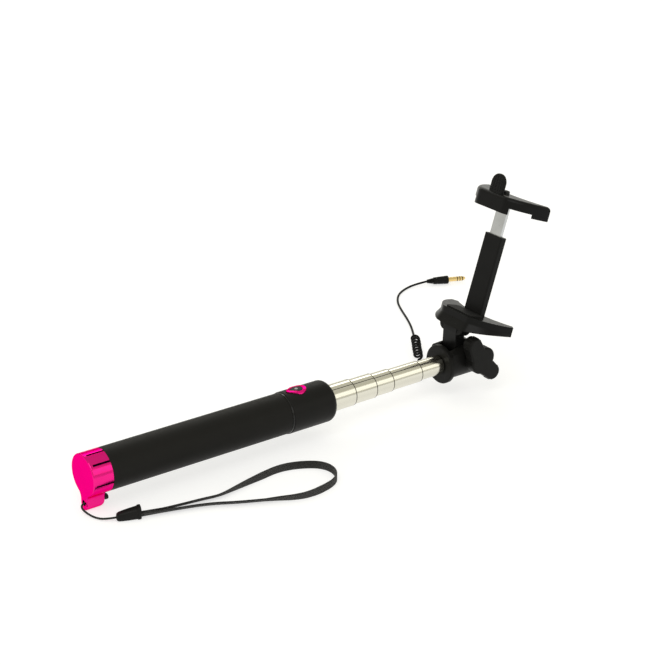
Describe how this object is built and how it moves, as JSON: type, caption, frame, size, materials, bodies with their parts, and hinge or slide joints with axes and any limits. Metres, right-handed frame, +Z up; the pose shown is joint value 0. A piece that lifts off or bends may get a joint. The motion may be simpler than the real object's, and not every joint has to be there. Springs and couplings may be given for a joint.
{
  "type": "selfie stick",
  "caption": "Telescopic selfie stick with a spring phone holder on a tilting head, a wing knob, a shutter button on the handle, a curly jack lead and a wrist strap.",
  "frame": {"origin": "middle of the footprint of the stick and its holder, cords left out, on the surface it lies on", "axes": "+X along the stick from the butt to the head, +Z up"},
  "size_m": [0.417, 0.222, 0.1447],
  "materials": {
    "pink_plated": "metallised plating, glossy",
    "grip": "fine soft-touch matte",
    "gloss_black": "gloss",
    "collar": "matte with slight sheen",
    "aluminium_tube": "drawn",
    "white_plastic": "natural acetal",
    "board": "circuit board",
    "switch_case": "matte",
    "dome_metal": "satin",
    "strap_cord": "braided cord",
    "toggle_plastic": "moulded satin",
    "strap_webbing": "woven ribbon",
    "button_rubber": "smooth",
    "grey_mark": "satin",
    "head_plastic": "moulded satin",
    "zinc_steel": "zinc plated",
    "cable_rubber": "smooth matte",
    "plug_plastic": "satin",
    "gold_pin": "gold plated",
    "ring_plastic": "satin",
    "knob_plastic": "moulded satin",
    "brass_insert": "knurled",
    "jaw_plastic": "semi gloss",
    "pad_rubber": "ribbed",
    "rail_plastic": "satin",
    "black_steel": "black oxide",
    "spring_steel": "drawn wire",
    "chrome_tube": "polished",
    "bush_nylon": "nylon"
  },
  "bodies": {
    "handle": {"end_cap": "pink_plated", "grip_sleeve": "grip", "handle_tube": "aluminium_tube", "grip_ring": "gloss_black", "collar_housing": "collar", "front_bush": "white_plastic", "button_bezel": "pink_plated", "switch_board": "board", "tact_switch": "switch_case", "return_dome": "dome_metal", "strap_string": "strap_cord", "string_knot": "strap_cord", "strap_toggle": "toggle_plastic", "strap_band": "strap_webbing"},
    "button": {"shutter_button": "button_rubber", "button_dot": "grey_mark"},
    "tube_a": {"tube_a": "chrome_tube", "bush_a": "bush_nylon"},
    "tube_b": {"tube_b": "chrome_tube", "bush_b": "bush_nylon"},
    "tube_c": {"tube_c": "chrome_tube", "bush_c": "bush_nylon"},
    "tube_d": {"tube_d": "chrome_tube", "bush_d": "bush_nylon"},
    "head": {"tube_e": "chrome_tube", "bush_e": "bush_nylon", "head_socket": "head_plastic", "roll_pin": "zinc_steel", "cable_gland": "cable_rubber", "pivot_bolt": "zinc_steel", "pivot_washers": "zinc_steel", "inner_lead": "cable_rubber", "cable_lead": "cable_rubber", "cable_coil": "cable_rubber", "cable_tube": "cable_rubber", "plug_relief": "cable_rubber", "plug_body": "plug_plastic", "plug_pin": "gold_pin", "plug_rings": "ring_plastic"},
    "knob": {"wing_knob": "knob_plastic", "knob_insert": "brass_insert"},
    "holder": {"holder_base": "jaw_plastic", "lower_pad": "pad_rubber", "back_rail": "rail_plastic", "rail_screws": "black_steel", "jaw_springs": "spring_steel"},
    "upper_jaw": {"upper_jaw": "jaw_plastic", "upper_pad": "pad_rubber", "jaw_slider": "zinc_steel", "slider_screw": "black_steel"}
  },
  "joints": [
    {"name": "button_press", "type": "slide", "parent": "handle", "child": "button", "axis": [0, 0, -1], "range_m": [0, 0.0004], "stiffness_N_per_m": 3000, "deforming": ["return_dome"]},
    {"name": "slide_a", "type": "slide", "parent": "handle", "child": "tube_a", "axis": [1, 0, 0], "range_m": [-0.0145, 0.107]},
    {"name": "slide_b", "type": "slide", "parent": "tube_a", "child": "tube_b", "axis": [1, 0, 0], "range_m": [-0.014, 0.108]},
    {"name": "slide_c", "type": "slide", "parent": "tube_b", "child": "tube_c", "axis": [1, 0, 0], "range_m": [-0.011, 0.11]},
    {"name": "slide_d", "type": "slide", "parent": "tube_c", "child": "tube_d", "axis": [1, 0, 0], "range_m": [-0.0205, 0.101]},
    {"name": "slide_e", "type": "slide", "parent": "tube_d", "child": "head", "axis": [1, 0, 0], "range_m": [-0.0155, 0.106]},
    {"name": "knob_turn", "type": "hinge", "parent": "head", "child": "knob", "pos_m": [0.1199, 0, 0.0258], "axis": [0, -1, 0], "continuous": true},
    {"name": "holder_tilt", "type": "hinge", "parent": "head", "child": "holder", "pos_m": [0.1199, 0, 0.0258], "axis": [0, 1, 0], "range_deg": [-20, 75]},
    {"name": "jaw_slide", "type": "slide", "parent": "holder", "child": "upper_jaw", "axis": [0.2939, 0, 0.9558], "range_m": [-0.0175, 0.0125], "deforming": ["jaw_springs"]}
  ]
}
